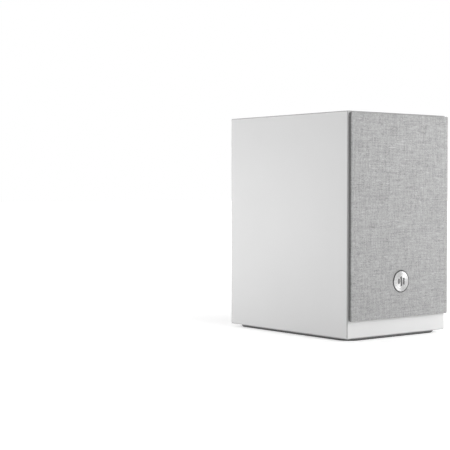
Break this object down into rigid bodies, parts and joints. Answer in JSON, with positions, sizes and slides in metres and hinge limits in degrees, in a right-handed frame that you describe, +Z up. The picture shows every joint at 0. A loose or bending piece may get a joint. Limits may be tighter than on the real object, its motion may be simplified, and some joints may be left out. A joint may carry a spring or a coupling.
{
  "type": "bookshelf speaker",
  "caption": "Compact two-way bookshelf loudspeaker: white cabinet, pull-off grey cloth grille with a round metal badge, dark inset base, rear port and powered rear panel.",
  "frame": {"origin": "centre of the base's underside, on the surface that the speaker stands on", "axes": "+Z up; the grille faces -Y; +X is to the right of somebody who faces the grille"},
  "size_m": [0.149, 0.2165, 0.239],
  "materials": {
    "white_lacquer": "satin white lacquer on fibreboard",
    "base_black": "matt charcoal",
    "base_rubber": "soft rubber sheet",
    "wadding": "loose polyester wadding",
    "basket_steel": "black powder coat",
    "surround_rubber": "smooth butyl rubber",
    "cone_paper": "coated paper, slightly fibrous",
    "dust_cap": "satin black",
    "copper": "enamelled copper winding",
    "spider_cloth": "impregnated cotton",
    "zinc_steel": "zinc plated steel",
    "ferrite": "sintered ferrite",
    "phenolic": "phenolic board with tinned tabs",
    "black_screw": "black oxide",
    "tweeter_plate": "fine textured black",
    "silk": "doped silk",
    "magnet_nickel": "nickel plated",
    "frame_plastic": "moulded black plastic",
    "grille_cloth": "grey melange woven cloth",
    "badge_metal": "spun, with fine turned rings",
    "badge_dark": "dark ring",
    "badge_mark": "dark grey inlay",
    "port_plastic": "satin black moulding",
    "panel_aluminium": "black anodised, brushed",
    "board_green": "solder mask over glass epoxy",
    "bare_aluminium": "extruded",
    "lamination": "varnished laminations and tape",
    "socket_black": "moulded black",
    "pin_brass": "bright brass",
    "rocker_black": "semi-gloss black",
    "knob_black": "fluted satin black",
    "pot_metal": "plated can",
    "button_grey": "satin grey",
    "shell_nickel": "nickel plated shells",
    "insert_colour": "coloured insulators: red, white and black",
    "post_gold": "gold flashed brass",
    "cap_red": "red",
    "cap_black": "black",
    "cable_grey": "black insulated lead"
  },
  "bodies": {
    "cabinet": {"front_baffle": "white_lacquer", "rear_panel": "white_lacquer", "left_side_panel": "white_lacquer", "right_side_panel": "white_lacquer", "top_panel": "white_lacquer", "bottom_panel": "white_lacquer", "base_plate": "base_black", "base_pad": "base_rubber", "damping_wadding": "wadding", "woofer_basket": "basket_steel", "woofer_surround": "surround_rubber", "woofer_spider": "spider_cloth", "woofer_top_plate": "zinc_steel", "woofer_magnet": "ferrite", "woofer_yoke": "zinc_steel", "woofer_terminals": "phenolic", "woofer_screws": "black_screw", "tweeter_faceplate": "tweeter_plate", "tweeter_surround": "silk", "tweeter_top_plate": "zinc_steel", "tweeter_magnet": "ferrite", "tweeter_yoke": "zinc_steel", "tweeter_screws": "black_screw", "baffle_magnets": "magnet_nickel", "port_tube": "port_plastic", "amp_panel": "panel_aluminium", "amp_panel_screws": "black_screw", "amp_board": "board_green", "amp_standoffs": "pin_brass", "heat_sink": "bare_aluminium", "transformer": "lamination", "mains_inlet": "socket_black", "mains_pins": "pin_brass", "rocker_housing": "socket_black", "volume_pot": "pot_metal", "phono_shells": "shell_nickel", "phono_inserts": "insert_colour", "post_plate": "socket_black", "post_stems": "post_gold", "crossover_board": "board_green", "crossover_coils": "copper", "woofer_cable": "cable_grey", "tweeter_cable": "cable_grey"},
    "grille": {"grille_frame": "frame_plastic", "grille_cloth": "grille_cloth", "grille_magnets": "magnet_nickel", "badge_disc": "badge_metal", "badge_bezel": "badge_dark", "badge_inlay": "badge_mark"},
    "woofer_moving": {"woofer_cone": "cone_paper", "woofer_dust_cap": "dust_cap", "woofer_voice_coil": "copper"},
    "tweeter_moving": {"tweeter_dome": "silk", "tweeter_voice_coil": "copper"},
    "rocker": {"power_rocker": "rocker_black"},
    "knob": {"volume_knob": "knob_black", "volume_shaft": "pot_metal"},
    "button": {"pair_button": "button_grey"},
    "red_cap": {"red_post_cap": "cap_red"},
    "black_cap": {"black_post_cap": "cap_black"}
  },
  "joints": [
    {"name": "grille_pull", "type": "slide", "parent": "cabinet", "child": "grille", "axis": [0, -1, 0], "range_m": [0, 0.06]},
    {"name": "woofer_stroke", "type": "slide", "parent": "cabinet", "child": "woofer_moving", "axis": [0, -1, 0], "range_m": [-0.003, 0.003], "stiffness_N_per_m": 800, "deforming": ["woofer_surround", "woofer_spider"]},
    {"name": "tweeter_stroke", "type": "slide", "parent": "cabinet", "child": "tweeter_moving", "axis": [0, -1, 0], "range_m": [-0.0003, 0.0003], "stiffness_N_per_m": 60, "deforming": ["tweeter_surround"]},
    {"name": "power_tilt", "type": "hinge", "parent": "cabinet", "child": "rocker", "pos_m": [-0.024, 0.0975, 0.047], "axis": [1, 0, 0], "range_deg": [0, 22]},
    {"name": "volume_turn", "type": "hinge", "parent": "cabinet", "child": "knob", "pos_m": [-0.024, 0.0984, 0.125], "axis": [0, -1, 0], "range_deg": [-150, 150]},
    {"name": "pair_press", "type": "slide", "parent": "cabinet", "child": "button", "axis": [0, -1, 0], "range_m": [0, 0.0008], "stiffness_N_per_m": 900},
    {"name": "red_cap_turn", "type": "hinge", "parent": "cabinet", "child": "red_cap", "pos_m": [-0.0275, 0.1084, 0.087], "axis": [0, 1, 0], "continuous": true},
    {"name": "black_cap_turn", "type": "hinge", "parent": "cabinet", "child": "black_cap", "pos_m": [-0.0085, 0.1084, 0.087], "axis": [0, 1, 0], "continuous": true}
  ]
}
